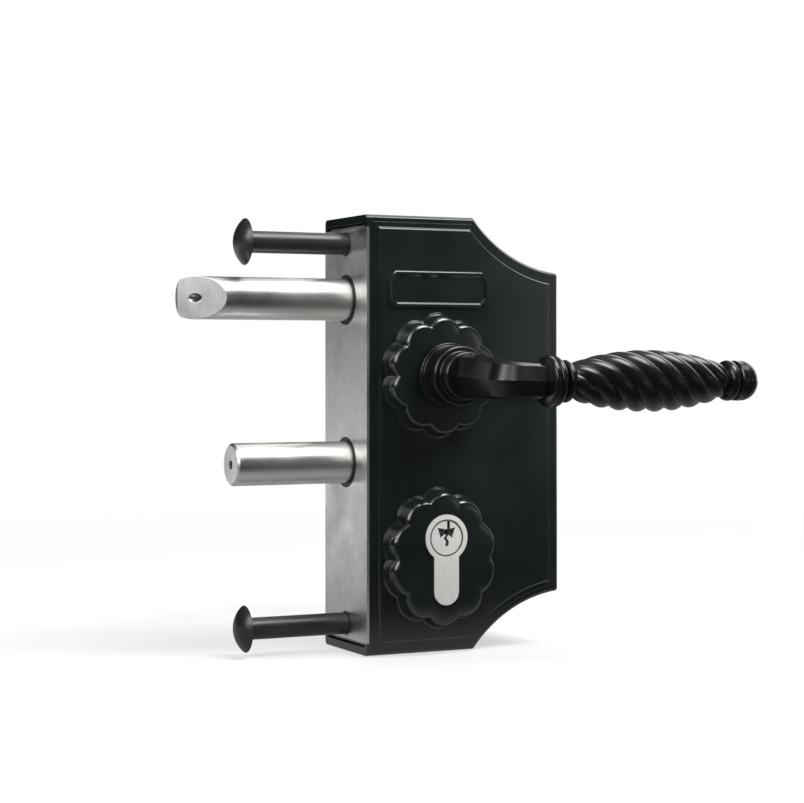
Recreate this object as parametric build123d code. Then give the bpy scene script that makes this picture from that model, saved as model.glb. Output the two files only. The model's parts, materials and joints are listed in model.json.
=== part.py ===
from build123d import *
import math
import os

# Gate lock for a square steel stile, in millimetres.
# X = 0 is the face that meets the stile, and +X runs across the gate.
# Y = 0 is the middle of the lock, with the front on the -Y side.
# Z = 0 is the mid-height of the case.

# Case: two half shells that meet at Y = 0
case_width = 80.0
case_height = 160.0
case_depth = 40.0
case_wall = 3.0
panel_wall = 3.5
scoop_width = 36.0
scoop_height_share = 0.125
scoop_depth = 4.25
tip_radius = 1.2
edge_bevel = 1.0
border_width = 4.4
border_ledge_inset = 2.6
panel_rise = 1.0
ledge_rise = 0.35
panel_edge_bevel = 0.7

# Raised frame on the front panel
name_frame_width = 41.0
name_frame_height = 13.0
name_frame_chamfer = 2.8
name_frame_bead = 1.2
name_frame_rise = 0.5
name_frame_x = 28.5
name_frame_gap = 1.8

# Places of the axes: heights are shares of the case's height
backset = 28.0
spindle_share = 0.134375
cylinder_drop_share = 0.36875
latch_lift_share = 0.175
dead_bolt_lift_share = 0.16875
fixing_inset_share = 0.0625

# Stile that the lock is bolted to
stile_width = 40.0

# Clearances
running_gap = 0.05
seat_gap = 0.3
slide_gap = 0.1

# Mounting plate and frame
plate_thickness = 1.0
plate_end_inset = 4.5
web_thickness = 3.0
frame_thickness = 2.0
frame_edge_gap = 0.6
frame_side_gap = 0.3

# Screws that hold the two shells together
case_screw_radius = 2.0
case_block_half = 4.5
case_screw_head_radius = 3.9
case_screw_head_height = 2.3
case_screw_depth = 11.0
top_screw_x = 36.0
top_screw_inset = 11.0
low_screw_x = 51.0
low_screw_drop = 8.0
side_screw_inset = 10.5
side_screw_share = 0.1875

# Rosettes: ten rounded lobes with one at the top
rosette_height = 7.0
rosette_face_radius = 21.0
rosette_draft = 1.2
rosette_foot = 1.0
rosette_lobes = 10
lobe_depth = 2.2
rosette_rim_bevel = 0.7
cylinder_rosette_stretch = 2.9
cylinder_rosette_drop = 7.8

# Lever bearing
bush_radius = 11.0
journal_radius = 9.0

# Lever: rings, neck and shank
lever_flange_radius = 12.0
lever_flange_height = 3.2
lever_ring_radius = 10.9
lever_ring_height = 8.8
lever_ring_bevel = 1.0
lever_foot_radius = 8.7
lever_foot_height = 5.0
lever_reach = 55.0
lever_drop = 1.7
neck_root_width = 12.4
neck_root_height = 16.2
neck_tip_width = 10.4
neck_tip_height = 12.3
neck_facet_width = 0.58
neck_facet_height = 0.81
neck_even_share = 0.12
bend_radius = 7.5
bend_steps = 6
shank_length = 6.5
lever_edge_bevel = 0.6

# Lever: collars and twisted grip
double_collar_radius = 8.95
double_collar_x = 16.0
single_collar_radius = 7.45
single_collar_x = 21.6
collar_bead = 1.2
collar_core_radius = 5.4
grip_gap = 0.7
grip_length = 63.0
grip_crest_radius = 11.0
grip_end_radius = 5.4
grip_swell = 0.65
grip_peak = 0.515
strand_count = 6
strand_facets = 4
strand_groove = 0.112
twist_lead = 46.5
twist_phase = 58.0
twist_step = 20.0
end_collar_radius = 7.35
end_collar_x = 3.0
ball_radius = 7.35
ball_x = 7.4

# Spindle and set screws
spindle_side = 8.0
spindle_reach = 44.0
set_screw_radius = 2.0

# Follower that turns with the levers
follower_radius = 11.0
follower_journal_radius = 8.0
follower_arm_width = 5.0
follower_arm_thickness = 6.0
follower_finger_radius = 4.0
lever_angle = 45.0

# Bolts
bolt_radius = 7.75
latch_nose = 64.0
latch_bevel_start = 49.8
latch_bevel_across = 12.0
dead_bolt_end = 45.4
bolt_chamfer = 0.8
stud_radius = 3.0
stud_grip = 18.0
access_radius = 1.6
bolt_rear_gap = 0.3
guide_bush_radius = 9.3
guide_flange_radius = 10.8
guide_flange_height = 1.0

# Latch carriage and its spring
latch_carriage_length = 24.0
latch_carriage_height = 17.0
carriage_half_depth = 8.5
latch_pocket_gap = 0.35
latch_pocket_top = 0.7
pocket_flare = 2.15
pocket_flare_height = 3.5
lug_length = 16.0
lug_height = 6.0
spring_wire = 1.2
spring_radius = 5.0
spring_coils = 7
spring_steps = 12
spring_bore_radius = 6.0
spring_bore_depth = 5.3
bracket_inset = 12.0
bracket_thickness = 2.5
bracket_height = 17.0
bracket_pin_radius = 3.4
bracket_pin_length = 8.0
bracket_tab_height = 7.0

# Dead bolt carriage
dead_bolt_travel = 20.0
dead_carriage_length = 24.7
dead_carriage_rise = 9.0
dead_carriage_drop = 9.5
dead_tail_drop = 17.0
dead_tail_half_depth = 4.0
dead_notch_width = 12.0
dead_notch_height = 6.0

# Profile cylinder
cylinder_radius = 8.5
cylinder_stem_width = 10.0
cylinder_height = 33.0
cylinder_proud = 0.5
plug_bore_radius = 6.75
plug_lip = 0.55
plug_inset = 0.3
cam_gap_half = 5.1
cam_ring_radius = 8.0
cam_reach = 15.2
cam_width = 8.0
cam_angle = 110.0
coupling_radius = 4.5
coupling_half_length = 6.6
cylinder_hole_gap = 0.3
cylinder_screw_radius = 2.5
cylinder_screw_drop = 17.5
cylinder_screw_head_radius = 4.6
cylinder_screw_head_height = 2.2
keyway_depth = 18.0
keyway_width = 1.3
keyway_top = 6.2
keyway_bottom = 3.0
keyway_step = 0.9
key_recess_depth = 2.0
key_recess_half_width = 3.6
key_recess_height = 3.8
key_recess_shoulder = 3.2
key_recess_foot = 2.4
key_recess_waist = 1.2

# Stile fixings
fixing_radius = 4.0
fixing_thread_radius = 3.9
fixing_hole_gap = 0.3
fixing_head_radius = 8.5
fixing_head_height = 3.8
fixing_tail = 14.0
nut_width = 13.0
nut_height = 6.5

# Derived places
half_height = case_height / 2
scoop_height = case_height * scoop_height_share
spindle_z = case_height * spindle_share
plug_z = spindle_z - case_height * cylinder_drop_share
latch_lift = case_height * latch_lift_share
latch_z = spindle_z + latch_lift
dead_bolt_z = plug_z + case_height * dead_bolt_lift_share
fixing_z = half_height - case_height * fixing_inset_share
panel_y = case_depth / 2
band_y = panel_y - panel_rise - ledge_rise
inner_y = panel_y - panel_wall
frame_outer_y = inner_y - frame_side_gap
frame_inner_y = frame_outer_y - frame_thickness
web_back_x = plate_thickness + web_thickness
plate_half_height = half_height - plate_end_inset
rosette_y = panel_y + rosette_height
rosette_top_z = spindle_z + rosette_face_radius + rosette_draft + rosette_foot
name_frame_z = rosette_top_z + name_frame_gap + name_frame_height / 2
cylinder_screw_z = plug_z - cylinder_screw_drop
cylinder_half_length = rosette_y + cylinder_proud
guide_flange_x = web_back_x + guide_flange_height
latch_rear_x = guide_flange_x + bolt_rear_gap
dead_rear_x = latch_rear_x + dead_bolt_travel
bracket_x = case_width - bracket_inset
follower_reach = latch_lift
follower_lean = lever_angle / 2
finger_x = backset - follower_reach * math.sin(math.radians(follower_lean))
latch_travel = 2 * (backset - finger_x)
finger_top_z = spindle_z + follower_reach + follower_finger_radius
grip_y = panel_y + lever_reach
grip_z = spindle_z - lever_drop
flange_y = rosette_y + seat_gap
ring_y = flange_y + lever_flange_height
foot_y = ring_y + lever_ring_height
neck_y = foot_y + lever_foot_height
grip_start_x = backset + single_collar_x + collar_bead + grip_gap
grip_end_x = grip_start_x + grip_length
grip_peak_x = grip_start_x + grip_length * grip_peak


def front_plane(y):
    """Plane with X to the right and Z up that faces the front."""
    return Plane(origin=(0, y, 0), x_dir=(1, 0, 0), z_dir=(0, -1, 0))


def slab(sketch, near, far):
    """A sketch in X and Z made solid between two distances in front of Y = 0."""
    return extrude(front_plane(-near) * sketch, amount=far - near)


def rod_y(x, z, radius, near, far):
    """A round bar along Y, between two distances in front of Y = 0."""
    return slab(Pos(x, z) * Circle(radius), near, far)


def side_plane(x):
    """Plane with Y to the right and Z up that faces +X."""
    return Plane(origin=(x, 0, 0), x_dir=(0, 1, 0), z_dir=(1, 0, 0))


def rod_x(y, z, radius, start, end):
    """A round bar along X."""
    return extrude(side_plane(start) * Pos(y, z) * Circle(radius), amount=end - start)


def block(x_range, y_range, z_range):
    """A box between two corners."""
    sizes = [b - a for a, b in (x_range, y_range, z_range)]
    middle = [(a + b) / 2 for a, b in (x_range, y_range, z_range)]
    return Pos(*middle) * Box(*sizes)


def back_of(part):
    """The matching piece on the back of the gate."""
    return mirror(part, about=Plane.XZ)


def case_outline():
    """Outline of the case, with a hollow arc across each free corner."""
    top = half_height
    left = case_width - scoop_width
    low = top - scoop_height
    chord = math.hypot(scoop_width, scoop_height)
    middle_x = (left + case_width) / 2 - scoop_depth * scoop_height / chord
    middle_z = (top + low) / 2 - scoop_depth * scoop_width / chord
    edges = [
        Line((0, -top), (0, top)),
        Line((0, top), (left, top)),
        ThreePointArc((left, top), (middle_x, middle_z), (case_width, low)),
        Line((case_width, low), (case_width, -low)),
        ThreePointArc((case_width, -low), (middle_x, -middle_z), (left, -top)),
        Line((left, -top), (0, -top)),
    ]
    outline = make_face(edges)
    tips = [v for v in outline.vertices() if v.X > left / 2]
    return fillet(tips, radius=tip_radius)


def inset_outline(inset):
    """The case outline moved in on every side."""
    return offset(case_outline(), amount=-inset, kind=Kind.INTERSECTION)


def case_screw_places():
    """Centres of the four screws that join the shells."""
    side_x = case_width - side_screw_inset
    side_z = case_height * side_screw_share
    return [
        (top_screw_x, half_height - top_screw_inset),
        (low_screw_x, cylinder_screw_z - low_screw_drop),
        (side_x, side_z),
        (side_x, -side_z),
    ]


def screw_block(x, z, half):
    """Square outline of the block that a case screw runs in, kept inside the case wall."""
    return Pos(x, z) * Rectangle(2 * half, 2 * half) & inset_outline(case_wall / 2)


def cylinder_profile(gap=0.0):
    """Outline of the profile cylinder, grown by a gap."""
    radius = cylinder_radius + gap
    half_stem = cylinder_stem_width / 2 + gap
    foot_z = plug_z + cylinder_radius - cylinder_height + cylinder_stem_width / 2
    stem_height = plug_z - foot_z
    stem = Pos(backset, foot_z + stem_height / 2) * Rectangle(2 * half_stem, stem_height)
    head = Pos(backset, plug_z) * Circle(radius)
    foot = Pos(backset, foot_z) * Circle(half_stem)
    return head + stem + foot


def name_frame():
    """Raised bead round the bare name panel."""
    plate = Rectangle(name_frame_width, name_frame_height)
    outer = chamfer(plate.vertices(), length=name_frame_chamfer)
    inner = offset(outer, amount=-name_frame_bead, kind=Kind.INTERSECTION)
    return Pos(name_frame_x, name_frame_z) * (outer - inner)


def case_shell():
    """One half of the case, with its stepped border, cavity and openings."""
    ledge_y = band_y + ledge_rise
    shell = slab(case_outline(), 0, band_y)
    rim = shell.faces().sort_by(Axis.Y)[0].edges()
    free_rim = [e for e in rim if e.center().X > tip_radius]
    shell = chamfer(free_rim, length=edge_bevel)
    ledge = slab(inset_outline(border_ledge_inset), band_y, ledge_y)
    panel = slab(inset_outline(border_width), ledge_y, panel_y)
    panel = chamfer(panel.faces().sort_by(Axis.Y)[0].edges(), length=panel_edge_bevel)
    shell += ledge + panel
    cavity = slab(inset_outline(case_wall), 0, inner_y)
    cavity_half = half_height - case_wall
    mouth = block((0, 2 * case_wall), (-inner_y, 0), (-cavity_half, cavity_half))
    plate_seat = block((0, plate_thickness), (-panel_y, 0), (-plate_half_height, plate_half_height))
    shell -= cavity + mouth + plate_seat
    for x, z in case_screw_places():
        shell += slab(screw_block(x, z, case_block_half), 0, inner_y + slide_gap)
    shell -= rod_y(backset, spindle_z, bush_radius + running_gap, 0, panel_y)
    shell -= slab(cylinder_profile(cylinder_hole_gap), 0, panel_y)
    shell -= cylinder_screw(cylinder_screw_radius + slide_gap, slide_gap)
    return shell


def make_front_case():
    shell = case_shell() + slab(name_frame(), panel_y, panel_y + name_frame_rise)
    for x, z in case_screw_places():
        shell -= rod_y(x, z, case_screw_radius + running_gap, 0, case_screw_depth + seat_gap)
    return shell


def make_back_case():
    shell = back_of(case_shell())
    for x, z in case_screw_places():
        shell -= case_screw(x, z, slide_gap)
    return shell


def case_screw(x, z, grow):
    """One countersunk screw from the back, with its shape grown for the hole."""
    shank = back_of(rod_y(x, z, case_screw_radius + grow, -case_screw_depth, panel_y))
    head_plane = Plane(origin=(x, panel_y - case_screw_head_height / 2, z), z_dir=(0, 1, 0))
    small = case_screw_radius + grow
    head = head_plane * Cone(small, case_screw_head_radius + grow, case_screw_head_height)
    return shank + head


def make_case_screws():
    """Four countersunk screws put in from the back."""
    return Compound([case_screw(x, z, 0) for x, z in case_screw_places()])


def make_mounting_plate():
    """Thin plate between the stile and the case."""
    plate = block((0, plate_thickness), (-band_y, band_y), (-plate_half_height, plate_half_height))
    return plate - face_holes(0, plate_thickness)


def face_holes(start, end):
    """Holes for the two bolts and the two fixings, through what lies on the stile face."""
    holes = Part()
    for z in (latch_z, dead_bolt_z):
        holes += rod_x(0, z, guide_bush_radius + running_gap, start, end)
    for z in (fixing_z, -fixing_z):
        holes += rod_x(0, z, fixing_radius + fixing_hole_gap, start, end)
    return holes


def make_frame_web():
    """Thick web of the frame, which the nuts pull against the stile."""
    half = half_height - case_wall - frame_edge_gap
    web = block((plate_thickness, web_back_x), (-frame_outer_y, frame_outer_y), (-half, half))
    return web - face_holes(plate_thickness, web_back_x)


def frame_plate():
    """Side plate of the frame, which guides the carriages and carries the follower."""
    behind_web = Pos(web_back_x + case_width / 2, 0) * Rectangle(case_width, case_height)
    outline = inset_outline(case_wall + frame_edge_gap) & behind_web
    outline -= Pos(backset, spindle_z) * Circle(follower_journal_radius + running_gap)
    outline -= cylinder_profile(cylinder_hole_gap)
    for x, z in case_screw_places():
        outline -= screw_block(x, z, case_block_half + seat_gap)
    outline -= lug_slot(finger_x, latch_travel, latch_z)
    dead_lug_x = dead_rear_x + dead_carriage_length / 2 - dead_bolt_travel
    outline -= lug_slot(dead_lug_x, dead_bolt_travel, dead_bolt_z)
    tab_x = bracket_x + bracket_thickness / 2
    tab_width = bracket_thickness + 2 * slide_gap
    tab_height = bracket_tab_height + 2 * slide_gap
    outline -= Pos(tab_x, latch_z) * Rectangle(tab_width, tab_height)
    return slab(outline, frame_inner_y, frame_outer_y)


def lug_slot(start_x, travel, z):
    """Slot that a lug slides in, from its first place to its last."""
    length = travel + lug_length + 2 * seat_gap
    return Pos(start_x + travel / 2, z) * Rectangle(length, lug_height + 2 * slide_gap)


def make_front_frame_plate():
    return frame_plate()


def make_back_frame_plate():
    return back_of(frame_plate())


def make_spring_bracket():
    """Wall behind the latch spring, with tabs in the frame plates and a pin in the spring."""
    half = bracket_height / 2
    wall_end = bracket_x + bracket_thickness
    wall = block((bracket_x, wall_end), (-frame_inner_y, frame_inner_y), (latch_z - half, latch_z + half))
    tab = bracket_tab_height / 2
    tabs = block((bracket_x, wall_end), (-frame_outer_y, frame_outer_y), (latch_z - tab, latch_z + tab))
    pin = rod_x(0, latch_z, bracket_pin_radius, bracket_x - bracket_pin_length, bracket_x)
    pin_end = pin.faces().sort_by(Axis.X)[0].edges()
    return wall + tabs + chamfer(pin_end, length=edge_bevel)


def lobed_outline(half_across, half_tall):
    """Closed outline of round lobes on an oval, with a lobe at the top."""
    step = 2 * math.pi / rosette_lobes

    def place(angle, inset):
        return ((half_across - inset) * math.sin(angle), (half_tall - inset) * math.cos(angle))

    arcs = []
    for i in range(rosette_lobes):
        angle = i * step
        start = place(angle - step / 2, lobe_depth)
        end = place(angle + step / 2, lobe_depth)
        arcs.append(ThreePointArc(start, place(angle, 0), end))
    return make_face(arcs)


def rosette(z, stretch, opening):
    """Lobed rosette with a sloped foot, a drafted wall and a bevelled rim."""

    def level(y, growth):
        radius = rosette_face_radius + growth
        outline = lobed_outline(radius, radius + stretch)
        return front_plane(-y) * Pos(backset, z) * outline

    levels = [
        level(panel_y, rosette_draft + rosette_foot),
        level(panel_y + rosette_foot, rosette_draft),
        level(rosette_y - rosette_rim_bevel, 0),
        level(rosette_y, -rosette_rim_bevel),
    ]
    return loft(levels, ruled=True) - slab(opening, panel_y, rosette_y)


def make_front_lever_rosette():
    opening = Pos(backset, spindle_z) * Circle(bush_radius + running_gap)
    return rosette(spindle_z, 0, opening)


def make_back_lever_rosette():
    return back_of(make_front_lever_rosette())


def make_front_cylinder_rosette():
    middle_z = plug_z - cylinder_rosette_drop
    opening = cylinder_profile(cylinder_hole_gap)
    return rosette(middle_z, cylinder_rosette_stretch, opening)


def make_back_cylinder_rosette():
    return back_of(make_front_cylinder_rosette())


def make_front_lever_bush():
    """Bearing sleeve that joins rosette, shell and frame plate and carries the lever."""
    end_y = rosette_y - slide_gap
    sleeve = rod_y(backset, spindle_z, bush_radius, frame_outer_y, end_y)
    return sleeve - rod_y(backset, spindle_z, journal_radius, frame_outer_y, end_y)


def make_back_lever_bush():
    return back_of(make_front_lever_bush())


def lever_hub():
    """Journal, flange, ring and foot, turned about the spindle axis."""
    journal = journal_radius - running_gap
    edge = lever_edge_bevel
    profile = Polyline(
        (0, inner_y + slide_gap),
        (journal, inner_y + slide_gap),
        (journal, flange_y),
        (lever_flange_radius, flange_y),
        (lever_flange_radius, ring_y - edge),
        (lever_flange_radius - edge, ring_y),
        (lever_ring_radius, ring_y),
        (lever_ring_radius, foot_y - lever_ring_bevel),
        (lever_ring_radius - lever_ring_bevel, foot_y),
        (lever_foot_radius, foot_y),
        (lever_foot_radius, neck_y - edge),
        (lever_foot_radius - edge, neck_y),
        (0, neck_y),
        close=True,
    )
    turning = Plane(origin=(backset, 0, spindle_z), x_dir=(1, 0, 0), z_dir=(0, 0, 1))
    flat = turning * mirror(make_face(profile), about=Plane.XZ)
    return revolve(flat, axis=Axis((backset, 0, spindle_z), (0, 1, 0)))


def neck_section(share):
    """Eight-sided section with a corner outward, from the root (0) to the shank's end (1)."""
    eased = share * share * (3 - 2 * share)
    width = neck_root_width + (neck_tip_width - neck_root_width) * eased
    height = neck_root_height + (neck_tip_height - neck_root_height) * eased
    w = width / 2
    h = height / 2
    fw = w * neck_facet_width
    fh = h * neck_facet_height
    corners = [(w, 0), (fw, fh), (0, h), (-fw, fh), (-w, 0), (-fw, -fh), (0, -h), (fw, -fh)]
    drop = (spindle_z - grip_z) * eased
    return Pos(0, spindle_z - drop) * make_face(Polyline(*corners, close=True))


def lever_arm():
    """Neck out of the panel, quarter bend and short shank, lofted through one row of sections."""
    straight = grip_y - bend_radius - foot_y
    total = straight + bend_radius * math.pi / 2 + shank_length
    even = total * neck_even_share
    across = (1, 0, 0)
    ahead = (0, -1, 0)
    stations = [(0, backset, foot_y, across, ahead), (even, backset, foot_y + even, across, ahead)]
    for i in range(bend_steps + 1):
        angle = math.pi / 2 * i / bend_steps
        x = backset + bend_radius * (1 - math.cos(angle))
        y = grip_y - bend_radius * (1 - math.sin(angle))
        across = (math.cos(angle), math.sin(angle), 0)
        ahead = (math.sin(angle), -math.cos(angle), 0)
        stations.append((straight + bend_radius * angle, x, y, across, ahead))
    stations.append((total, backset + bend_radius + shank_length, grip_y, across, ahead))
    sections = []
    for distance, x, y, across, ahead in stations:
        share = max(0.0, (distance - even) / (total - even))
        sections.append(Plane(origin=(x, -y, 0), x_dir=across, z_dir=ahead) * neck_section(share))
    return loft(sections, ruled=True)


def ring_points(x, radius, half_width):
    """Corners of one bevelled ring, from its near side to its far side."""
    bevel = half_width / 2
    return [
        (x - half_width, radius - bevel),
        (x - half_width + bevel, radius),
        (x + half_width - bevel, radius),
        (x + half_width, radius - bevel),
    ]


def turned(points):
    """Solid turned about the grip axis from points of place and radius."""
    outline = [(points[0][0], 0)] + points + [(points[-1][0], 0)]
    plane = Plane(origin=(0, -grip_y, grip_z), x_dir=(1, 0, 0), z_dir=(0, -1, 0))
    flat = plane * make_face(Polyline(*outline, close=True))
    return revolve(flat, axis=Axis((0, -grip_y, grip_z), (1, 0, 0)))


def lever_collars():
    """Double collar, single collar, end collar and ball, on their cores."""
    start = backset + bend_radius + shank_length - edge_bevel
    root = [(start, collar_core_radius)]
    middle = backset + double_collar_x
    root += [(middle - 2 * collar_bead, collar_core_radius)]
    root += ring_points(middle - collar_bead, double_collar_radius, collar_bead)
    root += ring_points(middle + collar_bead, double_collar_radius, collar_bead)[1:]
    root += [(middle + 2 * collar_bead, collar_core_radius)]
    single = backset + single_collar_x
    root += [(single - collar_bead, collar_core_radius)]
    root += ring_points(single, single_collar_radius, collar_bead)
    root += [(single + collar_bead, collar_core_radius)]
    buried_radius = grip_end_radius * (1 - 2 * strand_groove)
    root += [(grip_start_x, buried_radius), (grip_start_x + edge_bevel, buried_radius)]
    end_x = grip_end_x + end_collar_x
    tip = [(grip_end_x - edge_bevel, collar_core_radius), (end_x - collar_bead, collar_core_radius)]
    tip += ring_points(end_x, end_collar_radius, collar_bead)
    tip += [(end_x + collar_bead, collar_core_radius), (grip_end_x + ball_x, collar_core_radius)]
    ball = Pos(grip_end_x + ball_x, -grip_y, grip_z) * Sphere(ball_radius)
    return turned(root) + turned(tip) + ball


def grip_radius(x):
    """Crest radius of the twisted grip, full in the middle and slender at both ends."""
    if x < grip_peak_x:
        share = (grip_peak_x - x) / (grip_peak_x - grip_start_x)
    else:
        share = (x - grip_peak_x) / (grip_end_x - grip_peak_x)
    swell = max(0.0, math.cos(math.pi / 2 * share)) ** grip_swell
    return grip_end_radius + (grip_crest_radius - grip_end_radius) * swell


def strand_section(x):
    """Section of the grip at x: a round back for each strand, turned to its place in the twist."""
    crest = grip_radius(x)
    valley = crest * (1 - strand_groove)
    step = 2 * math.pi / strand_count
    half = valley * math.sin(step / 2)
    rise = crest - valley * math.cos(step / 2)
    back_radius = (half * half + rise * rise) / (2 * rise)
    spread = math.asin(half / back_radius)
    twist = math.radians(twist_phase) + 2 * math.pi * (x - grip_start_x) / twist_lead
    points = []
    for i in range(strand_count):
        for k in range(strand_facets):
            angle = spread * (2 * k / strand_facets - 1)
            out = crest - back_radius * (1 - math.cos(angle))
            point = Vector(out, back_radius * math.sin(angle))
            points.append(point.rotate(Axis.Z, math.degrees(twist + i * step)))
    return side_plane(x) * Pos(-grip_y, grip_z) * make_face(Polyline(*points, close=True))


def twisted_grip():
    """Rounded strands laid in a right-handed twist that swells and closes again."""
    turns = 360 * grip_length / twist_lead
    count = math.ceil(turns / twist_step)
    places = [grip_start_x + grip_length * i / count for i in range(count + 1)]
    return loft([strand_section(x) for x in places], ruled=True)


def make_front_lever():
    lever = lever_hub() + lever_arm() + lever_collars() + twisted_grip()
    half = spindle_side / 2 + running_gap
    lever -= block((backset - half, backset + half), (-spindle_reach - seat_gap, -inner_y),
                   (spindle_z - half, spindle_z + half))
    screw_y = (ring_y + foot_y) / 2
    hole = Plane(origin=(backset, -screw_y, spindle_z), x_dir=(1, 0, 0), z_dir=(0, 0, -1))
    return lever - extrude(hole * Circle(set_screw_radius + running_gap), amount=lever_flange_radius)


def make_back_lever():
    return back_of(make_front_lever())


def make_spindle():
    """Square bar through the follower, with a lever on each end."""
    half = spindle_side / 2
    bar = block((backset - half, backset + half), (-spindle_reach, spindle_reach),
                (spindle_z - half, spindle_z + half))
    ends = bar.faces().sort_by(Axis.Y)[0].edges() + bar.faces().sort_by(Axis.Y)[-1].edges()
    return chamfer(ends, length=edge_bevel / 2)


def make_lever_set_screws():
    """One set screw in each lever, from below, tight on the spindle."""
    screw_y = (ring_y + foot_y) / 2
    length = lever_ring_radius - spindle_side / 2 - edge_bevel / 2
    tip = (backset, -screw_y, spindle_z - spindle_side / 2)
    place = Plane(origin=tip, x_dir=(1, 0, 0), z_dir=(0, 0, -1))
    screw = extrude(place * Circle(set_screw_radius), amount=length)
    return Compound([screw, back_of(screw)])


def make_follower():
    """Hub on the spindle with one arm, whose round finger drives the latch carriage."""
    hub_y = frame_inner_y - seat_gap
    hub = rod_y(backset, spindle_z, follower_radius, -hub_y, hub_y)
    journal_y = frame_outer_y - slide_gap
    hub += rod_y(backset, spindle_z, follower_journal_radius, -journal_y, journal_y)
    arm = Pos(0, follower_reach / 2) * Rectangle(follower_arm_width, follower_reach)
    finger = Pos(0, follower_reach) * Circle(follower_finger_radius)
    swing = Pos(backset, spindle_z) * Rot(0, 0, follower_lean) * (arm + finger)
    half = follower_arm_thickness / 2
    hole_side = spindle_side + 2 * running_gap
    hole = Pos(backset, spindle_z) * Rectangle(hole_side, hole_side)
    return hub + slab(swing, -half, half) - slab(hole, -journal_y, journal_y)


def make_latch_bolt():
    """Round spring bolt with a bevelled nose and a bore for a key to its stud."""
    bolt = rod_x(0, latch_z, bolt_radius, -latch_nose, latch_rear_x)
    bolt = chamfer(bolt.edges().sort_by(Axis.X)[0], length=bolt_chamfer)
    slope = (latch_nose - latch_bevel_start) / latch_bevel_across
    overrun = bolt_radius
    bevel = make_face(Polyline(
        (-latch_bevel_start + slope * overrun, -bolt_radius - overrun),
        (-latch_bevel_start, -bolt_radius),
        (-latch_nose - slope * overrun, -bolt_radius + latch_bevel_across + overrun),
        (-latch_nose - slope * overrun, -bolt_radius - overrun),
        close=True,
    ))
    floor = Plane(origin=(0, 0, latch_z - 2 * bolt_radius), x_dir=(1, 0, 0), z_dir=(0, 0, 1))
    bolt -= extrude(floor * bevel, amount=4 * bolt_radius)
    bolt -= rod_x(0, latch_z, access_radius, -latch_nose, 0)
    return bolt - rod_x(0, latch_z, stud_radius + running_gap, stud_start(), latch_rear_x)


def stud_start():
    """Front end of the latch stud, inside the bolt."""
    return latch_rear_x - stud_grip


def stud(front_x, rear_x, z):
    """Threaded stud that joins a bolt and its carriage."""
    return rod_x(0, z, stud_radius, front_x, rear_x)


def make_latch_stud():
    return stud(stud_start() + seat_gap, latch_rear_x + wall_to_pocket() - seat_gap, latch_z)


def wall_to_pocket():
    """Thickness of the carriage in front of the finger pocket."""
    return finger_x - follower_finger_radius - latch_pocket_gap - latch_rear_x


def make_latch_carriage():
    """Block that carries the latch bolt, with a pocket for the finger, two lugs and a spring seat."""
    end_x = latch_rear_x + latch_carriage_length
    half = latch_carriage_height / 2
    body = block((latch_rear_x, end_x), (-carriage_half_depth, carriage_half_depth),
                 (latch_z - half, latch_z + half))
    lug_y = frame_outer_y - slide_gap
    body += slab(Pos(finger_x, latch_z) * Rectangle(lug_length, lug_height), -lug_y, lug_y)
    wide = follower_finger_radius + latch_pocket_gap
    flared = wide + pocket_flare
    low = latch_z - half
    top = finger_top_z + latch_pocket_top
    pocket = make_face(Polyline(
        (-flared, low),
        (-wide, low + pocket_flare_height),
        (-wide, top),
        (wide, top),
        (wide, low + pocket_flare_height),
        (flared, low),
        close=True,
    ))
    pocket_y = (follower_arm_thickness / 2) + seat_gap
    body -= slab(Pos(finger_x, 0) * pocket, -pocket_y, pocket_y)
    body -= rod_x(0, latch_z, stud_radius + running_gap, latch_rear_x, finger_x)
    return body - rod_x(0, latch_z, spring_bore_radius, end_x - spring_bore_depth, end_x)


def make_latch_spring():
    """Compression spring between the carriage and the bracket, wound from square wire."""
    start = latch_rear_x + latch_carriage_length - spring_bore_depth + slide_gap + spring_wire / 2
    end = bracket_x - slide_gap - spring_wire / 2
    pitch = (end - start) / spring_coils
    steps = spring_coils * spring_steps
    wire = []
    for i in range(steps + 1):
        turn = 360 * i / spring_steps
        centre = Pos(start + (end - start) * i / steps, 0, latch_z)
        section = Plane.XY * Rectangle(spring_wire, spring_wire)
        wire.append(centre * Rot(turn, 0, 0) * Pos(0, spring_radius, 0) * section)
    print("latch spring: least gap between coils", round(pitch - spring_wire, 2))
    return loft(wire, ruled=True)


def guide_bush(z):
    """Flanged bush that guides a bolt through the plate and the web."""
    bush = rod_x(0, z, guide_bush_radius, 0, web_back_x)
    bush += rod_x(0, z, guide_flange_radius, web_back_x, guide_flange_x)
    return bush - rod_x(0, z, bolt_radius + running_gap, 0, guide_flange_x)


def make_latch_guide_bush():
    return guide_bush(latch_z)


def make_dead_bolt_guide_bush():
    return guide_bush(dead_bolt_z)


def make_dead_bolt():
    """Round dead bolt with a chamfered end and a bore to its stud."""
    bolt = rod_x(0, dead_bolt_z, bolt_radius, -dead_bolt_end, dead_rear_x)
    bolt = chamfer(bolt.edges().sort_by(Axis.X)[0], length=bolt_chamfer)
    bolt -= rod_x(0, dead_bolt_z, access_radius, -dead_bolt_end, dead_rear_x)
    return bolt - rod_x(0, dead_bolt_z, stud_radius + running_gap, dead_stud_start(), dead_rear_x)


def dead_stud_start():
    """Front end of the dead bolt's stud, inside the bolt."""
    return dead_rear_x - stud_grip


def make_dead_bolt_stud():
    rear_x = dead_rear_x + dead_carriage_length / 2 - seat_gap
    return stud(dead_stud_start() + seat_gap, rear_x, dead_bolt_z)


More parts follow.
